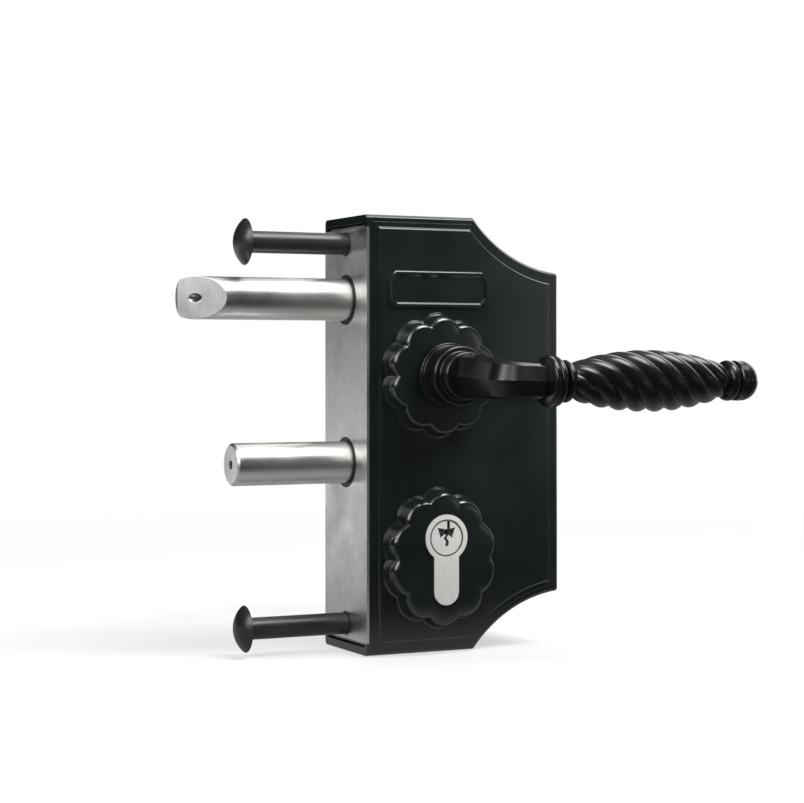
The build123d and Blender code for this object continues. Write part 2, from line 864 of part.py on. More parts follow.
def make_dead_bolt_carriage():
    """Block that carries the dead bolt, with two lugs and a notched tail for the cam."""
    end_x = dead_rear_x + dead_carriage_length
    middle_x = (dead_rear_x + end_x) / 2
    body = block((dead_rear_x, end_x), (-carriage_half_depth, carriage_half_depth),
                 (dead_bolt_z - dead_carriage_drop, dead_bolt_z + dead_carriage_rise))
    lug_y = frame_outer_y - slide_gap
    body += slab(Pos(middle_x, dead_bolt_z) * Rectangle(lug_length, lug_height), -lug_y, lug_y)
    tail_z = (dead_bolt_z - dead_tail_drop, dead_bolt_z - dead_carriage_drop)
    body += block((dead_rear_x, end_x), (-dead_tail_half_depth, dead_tail_half_depth), tail_z)
    notch_x = backset + dead_bolt_travel / 2
    notch = block((notch_x - dead_notch_width / 2, notch_x + dead_notch_width / 2),
                  (-dead_tail_half_depth, dead_tail_half_depth),
                  (tail_z[0], tail_z[0] + dead_notch_height))
    return body - notch - rod_x(0, dead_bolt_z, stud_radius + running_gap, dead_rear_x, middle_x)


def make_cylinder_body():
    """Double profile cylinder, with the gap for its cam in the middle."""
    body = slab(cylinder_profile(), -cylinder_half_length, cylinder_half_length)
    body -= rod_y(backset, plug_z, plug_bore_radius, -cylinder_half_length, cylinder_half_length)
    gap_bottom = plug_z - cylinder_stem_width
    body -= block((backset - cylinder_radius, backset + cylinder_radius), (-cam_gap_half, cam_gap_half),
                  (gap_bottom, plug_z + cylinder_radius))
    hole_end = backset + cylinder_stem_width
    start = backset - cylinder_stem_width
    return body - rod_x(0, cylinder_screw_z, cylinder_screw_radius + running_gap, start, hole_end)


def make_front_plug():
    """Plug with its stepped keyway and a winged recess round it."""
    face_y = cylinder_half_length - plug_inset
    inner = cam_gap_half + slide_gap
    radius = plug_bore_radius - running_gap
    plug = rod_y(backset, plug_z, radius, inner, face_y - plug_lip)
    plug += rod_y(backset, plug_z, radius - plug_lip, face_y - plug_lip, face_y)
    half = keyway_width / 2
    slot = make_face(Polyline(
        (keyway_step - half, keyway_top),
        (keyway_step + half, keyway_top),
        (keyway_step + half, key_recess_height / 2),
        (half - keyway_step / 2, 0),
        (half + keyway_step / 2, -keyway_bottom / 2),
        (half, -keyway_bottom),
        (-half, -keyway_bottom),
        (keyway_step / 2 - half, -keyway_bottom / 2),
        (-half - keyway_step / 2, 0),
        (keyway_step - half, key_recess_height / 2),
        close=True,
    ))
    plug -= slab(Pos(backset, plug_z) * slot, face_y - keyway_depth, face_y)
    wing = key_recess_half_width
    recess = make_face(Polyline(
        (-wing, key_recess_height),
        (-half, key_recess_shoulder),
        (keyway_step, key_recess_shoulder),
        (wing, key_recess_height),
        (key_recess_foot, 0),
        (half, key_recess_waist),
        (-half, key_recess_waist),
        (-key_recess_foot, 0),
        close=True,
    ))
    plug -= slab(Pos(backset, plug_z) * recess, face_y - key_recess_depth, face_y)
    socket_end = coupling_half_length + seat_gap
    return plug - rod_y(backset, plug_z, coupling_radius + running_gap, inner, socket_end)


def make_back_plug():
    return back_of(make_front_plug())


def make_cylinder_cam():
    """Cam ring with one finger, at its place with the dead bolt drawn back."""
    half = cam_gap_half - seat_gap
    finger = Pos(0, cam_reach / 2) * Rectangle(cam_width, cam_reach)
    finger &= Circle(cam_reach)
    shape = Pos(backset, plug_z) * Rot(0, 0, -cam_angle / 2) * finger
    shape += Pos(backset, plug_z) * Circle(cam_ring_radius)
    shape -= Pos(backset, plug_z) * Circle(coupling_radius + running_gap)
    return slab(shape, -half, half)


def make_cylinder_coupling():
    """Short round coupling between the two plugs, inside the cam."""
    return rod_y(backset, plug_z, coupling_radius, -coupling_half_length, coupling_half_length)


def cylinder_screw(radius, grow):
    """Countersunk screw across the case into the cylinder, with its shape grown for the hole."""
    shank = rod_x(0, cylinder_screw_z, radius, backset - cylinder_stem_width / 2 + seat_gap, case_width)
    sink = cylinder_screw_head_radius + grow
    head = Cone(radius, sink, cylinder_screw_head_height)
    head = Pos(case_width - cylinder_screw_head_height / 2, 0, cylinder_screw_z) * Rot(0, 90, 0) * head
    return shank + head


def make_cylinder_fixing_screw():
    return cylinder_screw(cylinder_screw_radius, 0)


def make_stile_fixing_bolts():
    """Two domed bolts that reach through the stile into the case."""
    bolts = []
    dome = (fixing_head_radius ** 2 + fixing_head_height ** 2) / (2 * fixing_head_height)
    for z in (fixing_z, -fixing_z):
        head = Pos(-stile_width - fixing_head_height + dome, 0, z) * Sphere(dome)
        head &= rod_x(0, z, fixing_head_radius, -stile_width - fixing_head_height, -stile_width)
        bolt = head + rod_x(0, z, fixing_radius, -stile_width, 0)
        bolts.append(bolt + rod_x(0, z, fixing_thread_radius, 0, fixing_tail))
    return Compound(bolts)


def make_fixing_nuts():
    """A hexagon nut on each fixing bolt, against the web."""
    nuts = []
    for z in (fixing_z, -fixing_z):
        flat = side_plane(web_back_x) * Pos(0, z) * RegularPolygon(nut_width / 2, 6, major_radius=False)
        hole = rod_x(0, z, fixing_thread_radius + running_gap, web_back_x, web_back_x + nut_height)
        nuts.append(extrude(flat, amount=nut_height) - hole)
    return Compound(nuts)


pieces = {
    "front_case": make_front_case,
    "back_case": make_back_case,
    "case_screws": make_case_screws,
    "mounting_plate": make_mounting_plate,
    "frame_web": make_frame_web,
    "front_frame_plate": make_front_frame_plate,
    "back_frame_plate": make_back_frame_plate,
    "spring_bracket": make_spring_bracket,
    "front_lever_rosette": make_front_lever_rosette,
    "back_lever_rosette": make_back_lever_rosette,
    "front_cylinder_rosette": make_front_cylinder_rosette,
    "back_cylinder_rosette": make_back_cylinder_rosette,
    "front_lever_bush": make_front_lever_bush,
    "back_lever_bush": make_back_lever_bush,
    "front_lever": make_front_lever,
    "back_lever": make_back_lever,
    "spindle": make_spindle,
    "lever_set_screws": make_lever_set_screws,
    "follower": make_follower,
    "latch_bolt": make_latch_bolt,
    "latch_stud": make_latch_stud,
    "latch_carriage": make_latch_carriage,
    "latch_spring": make_latch_spring,
    "latch_guide_bush": make_latch_guide_bush,
    "dead_bolt": make_dead_bolt,
    "dead_bolt_stud": make_dead_bolt_stud,
    "dead_bolt_carriage": make_dead_bolt_carriage,
    "dead_bolt_guide_bush": make_dead_bolt_guide_bush,
    "cylinder_body": make_cylinder_body,
    "front_plug": make_front_plug,
    "back_plug": make_back_plug,
    "cylinder_cam": make_cylinder_cam,
    "cylinder_coupling": make_cylinder_coupling,
    "cylinder_fixing_screw": make_cylinder_fixing_screw,
    "stile_fixing_bolts": make_stile_fixing_bolts,
    "fixing_nuts": make_fixing_nuts,
}

os.makedirs("parts", exist_ok=True)
for name, make in pieces.items():
    piece = make()
    piece.label = name
    export_step(piece, f"parts/{name}.step")
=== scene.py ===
import json
import math

import bmesh
import bpy
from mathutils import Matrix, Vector


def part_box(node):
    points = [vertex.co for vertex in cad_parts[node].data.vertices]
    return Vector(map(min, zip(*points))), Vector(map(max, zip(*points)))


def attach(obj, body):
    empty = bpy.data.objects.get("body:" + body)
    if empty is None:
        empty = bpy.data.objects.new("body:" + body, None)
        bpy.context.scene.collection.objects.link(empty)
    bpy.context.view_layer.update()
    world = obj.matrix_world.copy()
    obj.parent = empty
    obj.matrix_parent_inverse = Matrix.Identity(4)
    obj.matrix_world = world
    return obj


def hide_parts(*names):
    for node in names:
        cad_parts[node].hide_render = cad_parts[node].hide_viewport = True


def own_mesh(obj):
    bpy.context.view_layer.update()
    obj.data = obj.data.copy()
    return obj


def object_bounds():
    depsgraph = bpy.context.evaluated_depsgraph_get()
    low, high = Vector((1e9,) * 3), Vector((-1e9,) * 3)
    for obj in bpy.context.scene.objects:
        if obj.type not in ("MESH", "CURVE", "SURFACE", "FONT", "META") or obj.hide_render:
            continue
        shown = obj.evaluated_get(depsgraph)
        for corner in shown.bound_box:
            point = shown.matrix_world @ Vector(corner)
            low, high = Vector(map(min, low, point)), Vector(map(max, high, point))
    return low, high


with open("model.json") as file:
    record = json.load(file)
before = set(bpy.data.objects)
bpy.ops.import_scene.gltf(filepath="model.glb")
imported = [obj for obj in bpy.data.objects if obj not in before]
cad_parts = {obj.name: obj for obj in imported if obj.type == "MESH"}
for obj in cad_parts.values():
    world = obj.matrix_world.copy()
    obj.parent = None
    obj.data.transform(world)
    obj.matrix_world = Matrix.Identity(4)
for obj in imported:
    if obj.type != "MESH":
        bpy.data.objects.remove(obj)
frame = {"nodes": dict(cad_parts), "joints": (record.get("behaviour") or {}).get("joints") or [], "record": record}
cad_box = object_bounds()

# Shapes are worked out in millimetres, like the source, and mesh_piece turns them into metres.
MM = 0.001

# Axes and faces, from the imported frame
joints = {joint["name"]: joint for joint in frame["joints"]}
spindle_x, _, spindle_z = (value / MM for value in joints["lever_turn"]["pos_m"])
plug_z = joints["key_turn"]["pos_m"][2] / MM
panel_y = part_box("front_lever_rosette")[1].y / -MM
rosette_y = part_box("front_lever_rosette")[0].y / -MM

# Rosettes. Each corner of the foot gives its share of the foot's width and height, and its rounding.
lobes = 10
lobe_depth = 2.2
lobe_steps = 14
rosette_radius = 21.0
cylinder_rosette_stretch = 2.9
cylinder_rosette_drop = 7.8
rosette_draft = 1.2
rosette_foot = 1.0
foot_corners = ((1.0, 0.0, 0.0), (0.95, 0.6, 0.2), (0.25, 0.9, 0.2))
rim_round = 2.0
rim_reach = 3.6
rim_crown = 0.15
rim_steps = 5
bush_hole = 11.05
bush_hole_steps = 64

# Raised frame round the bare name panel. Each point of its bead gives the distance in from the outer
# edge and the height.
name_frame_half = (20.5, 6.5)
name_frame_x = 28.5
name_frame_gap = 1.8
name_frame_corner = 2.8
name_bead = ((-0.4, -0.02), (-0.1, 0.52), (0.15, 0.66), (0.95, 0.68), (1.15, 0.62), (1.85, -0.02))

# Profile cylinder
cylinder_radius = 8.5
cylinder_stem = 5.0
cylinder_foot_drop = 19.5
cylinder_gap = 0.3
opening_head_steps = 40
opening_foot_steps = 24

# Lever
flange_gap = 0.3
flange_radius = 12.0
flange_height = 3.2
ring_radius = 10.9
ring_height = 8.8
foot_radius = 8.7
foot_height = 5.0
journal_radius = 8.95
hub_round_steps = 6
lever_reach = 55.0
lever_drop = 1.7
neck_root = (12.4, 16.2)
neck_tip = (10.4, 12.3)
neck_facet = (0.58, 0.85)
neck_even_share = 0.12
neck_edge_round = 0.45
neck_round_steps = 3
bend_radius = 7.5
bend_steps = 28
shank_length = 6.5

# Collars and the casting's parting lines
double_collar_x = 16.0
double_collar_radius = 8.95
single_collar_x = 21.6
single_collar_radius = 7.45
collar_bead = 1.2
collar_gap = 0.3
collar_shoulders = (0.6, 0.4)
core_overlap = 1.0
bead_squash = 0.85
core_radius = 5.4
parting_half = 0.16
parting_proud = 0.12
parting_root = 0.4
parting_foot_dip = 0.8

# Grip
grip_start = 23.5
grip_length = 63.0
grip_crest = 11.0
grip_end_radius = 5.4
grip_swell = 0.65
grip_peak = 0.515
grip_steps = 170
strands = 6
strand_groove = 0.118
strand_steps = 16
twist_lead = 46.5
twist_phase = 58.0

# End of the grip
end_core_x = 0.6
end_core_step = 0.3
end_ring_x = 3.0
end_ring_radius = 7.35
end_ring_half = 2.0
end_ring_steps = 14
band_x = 5.4
band_width = 0.4
dome_x = 8.4
dome_shoulder = 0.5
dome_start = 0.4
dome_end_x = 14.7
dome_radius = 7.35
dome_groove = 0.3
dome_steps = 18

# Screws
socket_half = 1.25
socket_depth = 1.6
socket_lip = 0.15
screw_steps = 48
case_screw_places = ((36.0, 69.0), (51.0, -63.0), (69.5, 30.0), (69.5, -30.0))
case_screw_shape = {"length": 31.0, "shank": 2.0, "head": 3.9, "sink": 2.3}
cylinder_screw_drop = 17.5
cylinder_screw_shape = {"length": 56.7, "shank": 2.5, "head": 4.6, "sink": 2.2}
set_screw_shape = {"length": 6.4, "shank": 2.0, "head": 2.0, "sink": 0.4}

# Latch spring
spring_wire = 1.2
spring_wire_steps = 10
spring_coils = 7
spring_steps = 28

# Turned shapes close on a tiny circle, and a corner's arc takes less than half of each side.
point_radius = 0.01
turned_steps = 96
corner_share = 0.49

# Meshes: points that are one, in metres, and the softened edges of the CAD's own pieces
same_point = 1e-7
soft_same_point = 1e-6
soft_angle = 28
soft_case = 0.15
soft_bolts = 0.12

# Finishes: noise scales, and the middle part of a noise that is spread over a range
noise_middle = (0.3, 0.7)
coat_mottle = 55
coat_peel = 900
coat_grain = 3800
metal_brush = 260
metal_cloud = 70
plastic_cloud = 120
plastic_grain = 2600
dust_slope = (0.97, 0.998)
dust_roughness = 0.5
# Painted shade on bare metal: ambient occlusion darkens corners and creases towards the dark tint, and so does the
# depth below a sunk face
painted_shade_open = (0.35, 0.95)
painted_shade_tint = 0.12
sunk_shade_deep = 0.9
sunk_shade_start = 0.25

# Floor: its size and colour, the levels that it shows, and where one level turns to the next
floor_size = 8
floor_gap = 0.0004
floor_grey = 0.35
glow_level = 0.62
white_from = (0.22, 0.75)
dark_level = 0.03
pale_level = 0.38
pale_from = (-0.16, -0.03)
mirror_white_from = (0.15, 0.7)

# Studio that the surfaces mirror. A panel is given by the turn of its middle and half its width, in
# radians from straight in front of the lock, the sine of its lower and upper edge's height, and level.
# An upper edge above 1 leaves the panel open to the top.
ambient_level = 0.09
sky_from = (0.6, 0.85)
sky_levels = (0.02, 0.5)
panel_blur = 0.09
panel_edge_blur = 0.06
studio_panels = (
    {"middle": -1.43, "half": 0.18, "low": 0.2, "high": 0.8, "level": 4.2},
    {"middle": -0.73, "half": 0.11, "low": 0.2, "high": 0.8, "level": 2.3},
    {"middle": -1.08, "half": 0.45, "low": 0.5, "high": 0.8, "level": 1.9},
    {"middle": 0.70, "half": 1.02, "low": 0.83, "high": 2.0, "level": 3.8},
    {"middle": 2.10, "half": 0.45, "low": -0.2, "high": 0.8, "level": 2.6},
    {"middle": 0.745, "half": 0.215, "low": -0.2, "high": 0.13, "level": 0.8, "blur": 0.02},
)

# Lamps: place, width and height, power, and whether the surfaces mirror them
lamp_aim = (0.03, -0.02, 0.0)
lamps = {
    "key": ((0.27, -0.37, 0.91), (0.55, 0.50), 8.2, True),
    "fill": ((-0.65, -0.71, 0.45), (0.22, 0.60), 1.4, True),
    "left": ((-0.95, -0.16, 0.45), (0.35, 0.50), 3.0, True),
    "side": ((0.62, -0.43, 0.80), (0.45, 0.40), 8.0, False),
    "back": ((0.05, 0.55, 0.95), (0.60, 0.45), 2.6, False),
}

# Camera
camera_place = (-0.30885, -0.6859, 0.02619)
camera_turn = -25.83
camera_lens = 91.03
camera_shift = -0.048

flange_y = rosette_y + flange_gap
ring_y = flange_y + flange_height
foot_y = ring_y + ring_height
neck_y = foot_y + foot_height
grip_y = panel_y + lever_reach
grip_z = spindle_z - lever_drop


def arc(centre, radius, start, end, steps):
    """Points along an arc, its angles in degrees."""
    angles = [math.radians(start + (end - start) * i / steps) for i in range(steps + 1)]
    return [(centre[0] + radius * math.cos(a), centre[1] + radius * math.sin(a)) for a in angles]


def rounded(points, steps, radius=0.0, closed=False):
    """A run of straight lines with an arc at each corner. A point may carry its own radius."""
    out = []
    count = len(points)
    for i, point in enumerate(points):
        here = Vector(point[:2])
        wanted = point[2] if len(point) > 2 else radius
        if wanted == 0 or (not closed and i in (0, count - 1)):
            out.append(tuple(here))
            continue
        before = Vector(points[i - 1][:2]) - here
        after = Vector(points[(i + 1) % count][:2]) - here
        half = before.angle(after) / 2
        longest = min(before.length, after.length) * corner_share
        reach = min(wanted / math.tan(half), longest)
        size = reach * math.tan(half)
        inward = (before.normalized() + after.normalized()).normalized()
        middle = here + inward * (size / math.sin(half))
        first = here + before.normalized() * reach - middle
        last = here + after.normalized() * reach - middle
        turn = first.angle_signed(last)
        for k in range(steps + 1):
            a = -turn * k / steps
            x = first.x * math.cos(a) - first.y * math.sin(a)
            y = first.x * math.sin(a) + first.y * math.cos(a)
            out.append((middle.x + x, middle.y + y))
    return out


def skin(rings, cap_start=True, cap_end=True):
    """Closed surface through rings that have the same number of points."""
    count = len(rings[0])
    points = [point for ring in rings for point in ring]
    faces = []
    for r in range(len(rings) - 1):
        for i in range(count):
            j = (i + 1) % count
            faces.append((r * count + i, r * count + j, (r + 1) * count + j, (r + 1) * count + i))
    if cap_start:
        faces.append(tuple(range(count)))
    if cap_end:
        faces.append(tuple(range(len(points) - 1, len(points) - count - 1, -1)))
    return points, faces


def circle(steps):
    """Cosine and sine of evenly spaced angles."""
    angles = [2 * math.pi * i / steps for i in range(steps)]
    return [(math.cos(a), math.sin(a)) for a in angles]


def turned_y(profile, x, z):
    """Profile of distance in front of the gate and radius, turned about a line along Y."""
    round_steps = circle(turned_steps)
    return skin([[(x + radius * cos, -distance, z + radius * sin) for cos, sin in round_steps]
                 for distance, radius in profile])


def turned_x(profile):
    """Profile of place and radius, turned about the grip axis."""
    round_steps = circle(turned_steps)
    return skin([[(place, -grip_y + radius * cos, grip_z + radius * sin) for cos, sin in round_steps]
                 for place, radius in profile])


def mesh_piece(name, parts, body, nodes, slot, mirrored=False, crease=32):
    """One shown object from parts of points and faces, standing for CAD nodes, in its slot's finish."""
    side = -1 if mirrored else 1
    mesh = bpy.data.meshes.new(name)
    points = []
    faces = []
    for part_points, part_faces in parts:
        start = len(points)
        points += [(x * MM, y * side * MM, z * MM) for x, y, z in part_points]
        faces += [tuple(start + i for i in face) for face in part_faces]
    mesh.from_pydata(points, [], faces)
    build = bmesh.new()
    build.from_mesh(mesh)
    bmesh.ops.remove_doubles(build, verts=build.verts, dist=same_point)
    bmesh.ops.recalc_face_normals(build, faces=build.faces)
    build.to_mesh(mesh)
    build.free()
    mesh.shade_smooth()
    mesh.set_sharp_from_angle(angle=math.radians(crease))
    mesh.materials.append(finishes[slot])
    piece = bpy.data.objects.new(name, mesh)
    piece.modifiers.new("normals", "WEIGHTED_NORMAL").keep_sharp = True
    bpy.context.scene.collection.objects.link(piece)
    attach(piece, body)
    if nodes:
        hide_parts(*nodes)
    return piece


class Tree:
    """Short way to build the nodes of a material or a world."""

    def __init__(self, owner):
        owner.use_nodes = True
        self.nodes = owner.node_tree.nodes
        self.links = owner.node_tree.links

    def node(self, kind, **values):
        """New node. Each value goes to its input of that name, or else to its setting."""
        made = self.nodes.new(kind)
        for key, value in values.items():
            if key in made.inputs:
                made.inputs[key].default_value = value
            else:
                setattr(made, key, value)
        return made

    def feed(self, value, entry):
        """Links an output to an input, or sets the input to a plain value."""
        if isinstance(value, bpy.types.NodeSocket):
            self.links.new(value, entry)
        else:
            entry.default_value = value

    def place(self, stretch=(1, 1, 1)):
        """Object coordinates, stretched."""
        mapping = self.node("ShaderNodeMapping", Scale=stretch)
        self.feed(self.node("ShaderNodeTexCoord").outputs["Object"], mapping.inputs["Vector"])
        return mapping.outputs["Vector"]

    def split(self, vector):
        """The three parts of a vector, as outputs named X, Y and Z."""
        made = self.node("ShaderNodeSeparateXYZ")
        self.feed(vector, made.inputs["Vector"])
        return made.outputs

    def surface(self, output, axis):
        """One part of the surface's normal or place."""
        return self.split(self.node("ShaderNodeNewGeometry").outputs[output])[axis]

    def noise(self, scale, detail=2.0, stretch=(1, 1, 1), roughness=0.5):
        made = self.node("ShaderNodeTexNoise", Scale=scale, Detail=detail, Roughness=roughness)
        self.feed(self.place(stretch), made.inputs["Vector"])
        return made.outputs["Fac"]

    def ramp(self, value, low, high):
        """Middle of a noise spread between two colours."""
        made = self.node("ShaderNodeValToRGB")
        for stop, position, color in zip(made.color_ramp.elements, noise_middle, (low, high)):
            stop.position = position
            stop.color = (*color, 1)
        self.feed(value, made.inputs["Fac"])
        return made.outputs["Color"]

    def span(self, value, start, end, low=0.0, high=1.0, smooth=False):
        """A value's range from start to end, mapped to the one from low to high."""
        made = self.node("ShaderNodeMapRange", interpolation_type="SMOOTHSTEP" if smooth else "LINEAR")
        for key, number in (("From Min", start), ("From Max", end), ("To Min", low), ("To Max", high)):
            made.inputs[key].default_value = number
        self.feed(value, made.inputs["Value"])
        return made.outputs["Result"]

    def between(self, value, low, high):
        """Middle of a noise spread over a range."""
        return self.span(value, *noise_middle, low, high)

    def glide(self, value, start, end, low=0.0, high=1.0):
        """Smooth step of a value from one level to another."""
        return self.span(value, start, end, low, high, smooth=True)

    def math(self, operation, *values):
        made = self.node("ShaderNodeMath", operation=operation)
        for value, entry in zip(values, made.inputs):
            self.feed(value, entry)
        return made.outputs["Value"]

    def mix(self, kind, share, first, second):
        """Two numbers or colours, the first where the share is 0 and the second where it is 1."""
        made = self.node("ShaderNodeMix", data_type=kind)
        for key, value in (("Factor", share), ("A", first), ("B", second)):
            self.feed(value, made.inputs[key])
        return made.outputs["Result"]

    def mix_shaders(self, share, first, second):
        """Two shaders, the first where the share is 0 and the second where it is 1."""
        made = self.node("ShaderNodeMixShader")
        for value, entry in zip((share, first, second), made.inputs):
            self.feed(value, entry)
        return made.outputs["Shader"]

    def mirror_rays(self):
        """1 for what is seen in gloss or through glass."""
        path = self.node("ShaderNodeLightPath").outputs
        return self.math("MAXIMUM", path["Is Glossy Ray"], path["Is Transmission Ray"])

    def camera_rays(self):
        """1 for what the camera sees by itself."""
        return self.node("ShaderNodeLightPath").outputs["Is Camera Ray"]


class Finish(Tree):
    """A material with its shader."""

    def __init__(self, name):
        self.material = bpy.data.materials.new(name)
        super().__init__(self.material)
        self.shader = self.nodes["Principled BSDF"]

    def shade(self, entry, value):
        self.feed(value, self.shader.inputs[entry])

    def bump(self, layers):
        """Bumps laid over each other, each of height value, strength and distance in millimetres."""
        normal = None
        for value, strength, distance in layers:
            made = self.node("ShaderNodeBump", Strength=strength, Distance=distance * MM)
            self.feed(value, made.inputs["Height"])
            if normal is not None:
                self.feed(normal, made.inputs["Normal"])
            normal = made.outputs["Normal"]
        self.shade("Normal", normal)


def tinted(color, share):
    return tuple(min(1.0, c * share) for c in color)


def powder_coat(name, color, roughness, peel, gloss, dust=0.0):
    """Glossy powder coat: faint mottling, a soft peel and, on level tops, a film of dust."""
    finish = Finish(name)
    mottle = finish.noise(coat_mottle, detail=3)
    fine = finish.noise(coat_peel)
    grain = finish.noise(coat_grain)
    finish.shade("Base Color", finish.ramp(mottle, tinted(color, 0.82), tinted(color, 1.22)))
    finish.shade("Specular IOR Level", gloss)
    smooth = finish.between(mottle, roughness * 0.85, roughness * 1.15)
    if dust:
        level = finish.glide(finish.surface("Normal", "Z"), *dust_slope)
        smooth = finish.mix("FLOAT", level, smooth, dust_roughness)
        finish.shade("Specular IOR Level", finish.mix("FLOAT", level, gloss, gloss * (1 - dust)))
    finish.shade("Roughness", smooth)
    finish.bump([(fine, peel, 0.02), (grain, peel * 0.6, 0.006)])
    return finish.material


def brushed_metal(name, color, roughness, stretch, depth, metallic=1.0, painted_shade_reach=1.5, face_y=0.0):
    """Bare metal with brush lines along the axes that stretch leaves long, and painted shade in its corners
    and, where a face is given, in what is sunk below it."""
    finish = Finish(name)
    lines = finish.noise(metal_brush, detail=4, stretch=stretch, roughness=0.6)
    cloud = finish.noise(metal_cloud, detail=3)
    bare_color = finish.ramp(lines, tinted(color, 0.9), tinted(color, 1.06))
    # Painted shade where ambient occlusion finds corners, creases and gaps
    corner_shade = finish.node("ShaderNodeAmbientOcclusion", Distance=painted_shade_reach * MM, samples=8)
    clear = finish.span(corner_shade.outputs["AO"], *painted_shade_open)
    if face_y:
        # Painted shade in what lies sunk below the given face
        away = finish.math("ABSOLUTE", finish.surface("Position", "Y"))
        raised = finish.glide(away, (face_y - sunk_shade_deep) * MM, (face_y - sunk_shade_start) * MM)
        clear = finish.math("MINIMUM", clear, raised)
    # The colour goes to the dark tint where the painted shade falls
    finish.shade("Base Color", finish.mix("RGBA", clear, (*tinted(color, painted_shade_tint), 1), bare_color))
    finish.shade("Roughness", finish.between(cloud, roughness * 0.8, roughness * 1.25))
    finish.shade("Metallic", metallic)
    finish.bump([(lines, depth, 0.01), (cloud, depth * 0.3, 0.05)])
    return finish.material


def moulded_plastic(name, color, roughness):
    finish = Finish(name)
    cloud = finish.noise(plastic_cloud, detail=3)
    grain = finish.noise(plastic_grain)
    finish.shade("Base Color", finish.ramp(cloud, tinted(color, 0.85), tinted(color, 1.15)))
    finish.shade("Roughness", finish.between(grain, roughness * 0.9, roughness * 1.1))
    finish.bump([(grain, 0.15, 0.01)])
    return finish.material


# Finishes by the record's slot
finishes = {
    "case_coat": powder_coat("case_coat", (0.0105, 0.0142, 0.0150), roughness=0.15,
                             peel=0.05, gloss=0.9, dust=0.65),
    "lever_coat": powder_coat("lever_coat", (0.0090, 0.0082, 0.0081), roughness=0.22,
                              peel=0.05, gloss=0.45),
    "black_steel": powder_coat("black_steel", (0.022, 0.023, 0.024), roughness=0.34,
                               peel=0.12, gloss=0.5),
    "stainless": brushed_metal("stainless", (0.82, 0.815, 0.795), roughness=0.36,
                               stretch=(14, 1, 1), depth=0.10),
    "zinc_steel": brushed_metal("zinc_steel", (0.56, 0.57, 0.58), roughness=0.36,
                                stretch=(1, 6, 1), depth=0.12),
    # Nickel: painted shade in its corners and below the plug's face
    "nickel": brushed_metal("nickel", (0.95, 0.935, 0.90), roughness=0.38,
                            stretch=(9, 1, 1), depth=0.05, metallic=0.1, painted_shade_reach=0.8,
                            face_y=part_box("front_plug")[0].y / -MM),
    "cam_steel": brushed_metal("cam_steel", (0.50, 0.49, 0.47), roughness=0.45,
                               stretch=(1, 1, 1), depth=0.20),
    "bush_nylon": moulded_plastic("bush_nylon", (0.012, 0.012, 0.013), roughness=0.45),
}


def soften(node, width):
    """Rounds the sharp edges of a CAD node as it is shown."""
    shown = frame["nodes"][node]
    shown.modifiers.new("weld", "WELD").merge_threshold = soft_same_point
    bevel = shown.modifiers.new("bevel", "BEVEL")
    bevel.width = width * MM
    bevel.segments = 2
    bevel.limit_method = "ANGLE"
    bevel.angle_limit = math.radians(soft_angle)
    bevel.use_clamp_overlap = False
    shown.modifiers.new("normals", "WEIGHTED_NORMAL").keep_sharp = True


def dress_cad():
    """Gives each CAD node its finish, and the case, the bolts and the cylinder soft edges."""
    for part in frame["record"]["subparts"]:
        shown = frame["nodes"][part["node"]]
        shown.data.materials.clear()
        shown.data.materials.append(finishes[part["material_slot"]])
    for node in ("front_case", "back_case"):
        soften(node, soft_case)
    for node in ("latch_bolt", "dead_bolt", "cylinder_body"):
        soften(node, soft_bolts)


def lobed_outline(radius, stretch):
    """Points of the rosette's outline about its own centre, a lobe at the top."""
    step = 2 * math.pi / lobes
    points = []
    for i in range(lobes):
        angle = i * step

        def place(turn, inset):
            across, up = radius - inset, radius + stretch - inset
            return Vector((across * math.sin(turn), up * math.cos(turn)))

        start = place(angle - step / 2, lobe_depth)
        top = place(angle, 0)
        end = place(angle + step / 2, lobe_depth)
        points += three_point_arc(start, top, end)[:-1]
    return points


def three_point_arc(start, middle, end):
    """Evenly spaced points on the arc through three points."""
    a = middle - start
    b = end - start
    cross = 2 * (a.x * b.y - a.y * b.x)
    x = (b.y * a.length_squared - a.y * b.length_squared) / cross
    y = (a.x * b.length_squared - b.x * a.length_squared) / cross
    spoke = -Vector((x, y))
    sweep = spoke.angle_signed(end - start + spoke)
    points = []
    for i in range(lobe_steps + 1):
        turn = -sweep * i / lobe_steps
        cos, sin = math.cos(turn), math.sin(turn)
        turned = Vector((spoke.x * cos - spoke.y * sin, spoke.x * sin + spoke.y * cos))
        points.append(start - spoke + turned)
    return points


def rosette_profile():
    """Growth of the outline and height above the panel, from the foot to the face."""
    height = rosette_y - panel_y
    corners = [(rosette_draft + rosette_foot * across, rosette_foot * up, rounding)
               for across, up, rounding in foot_corners]
    corners += [(0.0, height - rim_crown, rim_round), (-rim_reach, height, 0.0)]
    return rounded(corners, rim_steps)


def rosette(z, stretch, hole):
    """Lobed rosette with a rounded rim, and an opening of given points."""
    rings = []
    for growth, height in rosette_profile():
        outline = lobed_outline(rosette_radius + growth, stretch)
        rings.append([(spindle_x + p.x, -(panel_y + height), z + p.y) for p in outline])
    points, faces = skin(rings, cap_start=False, cap_end=False)
    count = len(rings[0])
    rim = list(range(len(points) - count, len(points)))
    front = [(x, -rosette_y, pz) for x, pz in hole]
    back = [(x, -panel_y, pz) for x, pz in hole]
    start = len(points)
    points += front + back
    size = len(hole)
    for i in range(size):
        j = (i + 1) % size
        faces.append((start + i, start + j, start + size + j, start + size + i))
    faces += filled(points, rim, list(range(start, start + size)))
    return points, faces


def filled(points, outer, inner):
    """Triangles between an outer and an inner loop in one plane."""
    build = bmesh.new()
    for loop in (outer, inner):
        verts = [build.verts.new(points[i]) for i in loop]
        for i, vert in enumerate(verts):
            build.edges.new((vert, verts[(i + 1) % len(verts)]))
    build.verts.index_update()
    bmesh.ops.triangle_fill(build, edges=build.edges[:], use_beauty=True, use_dissolve=False)
    loops = outer + inner
    faces = [tuple(loops[v.index] for v in face.verts) for face in build.faces]
    build.free()
    return faces


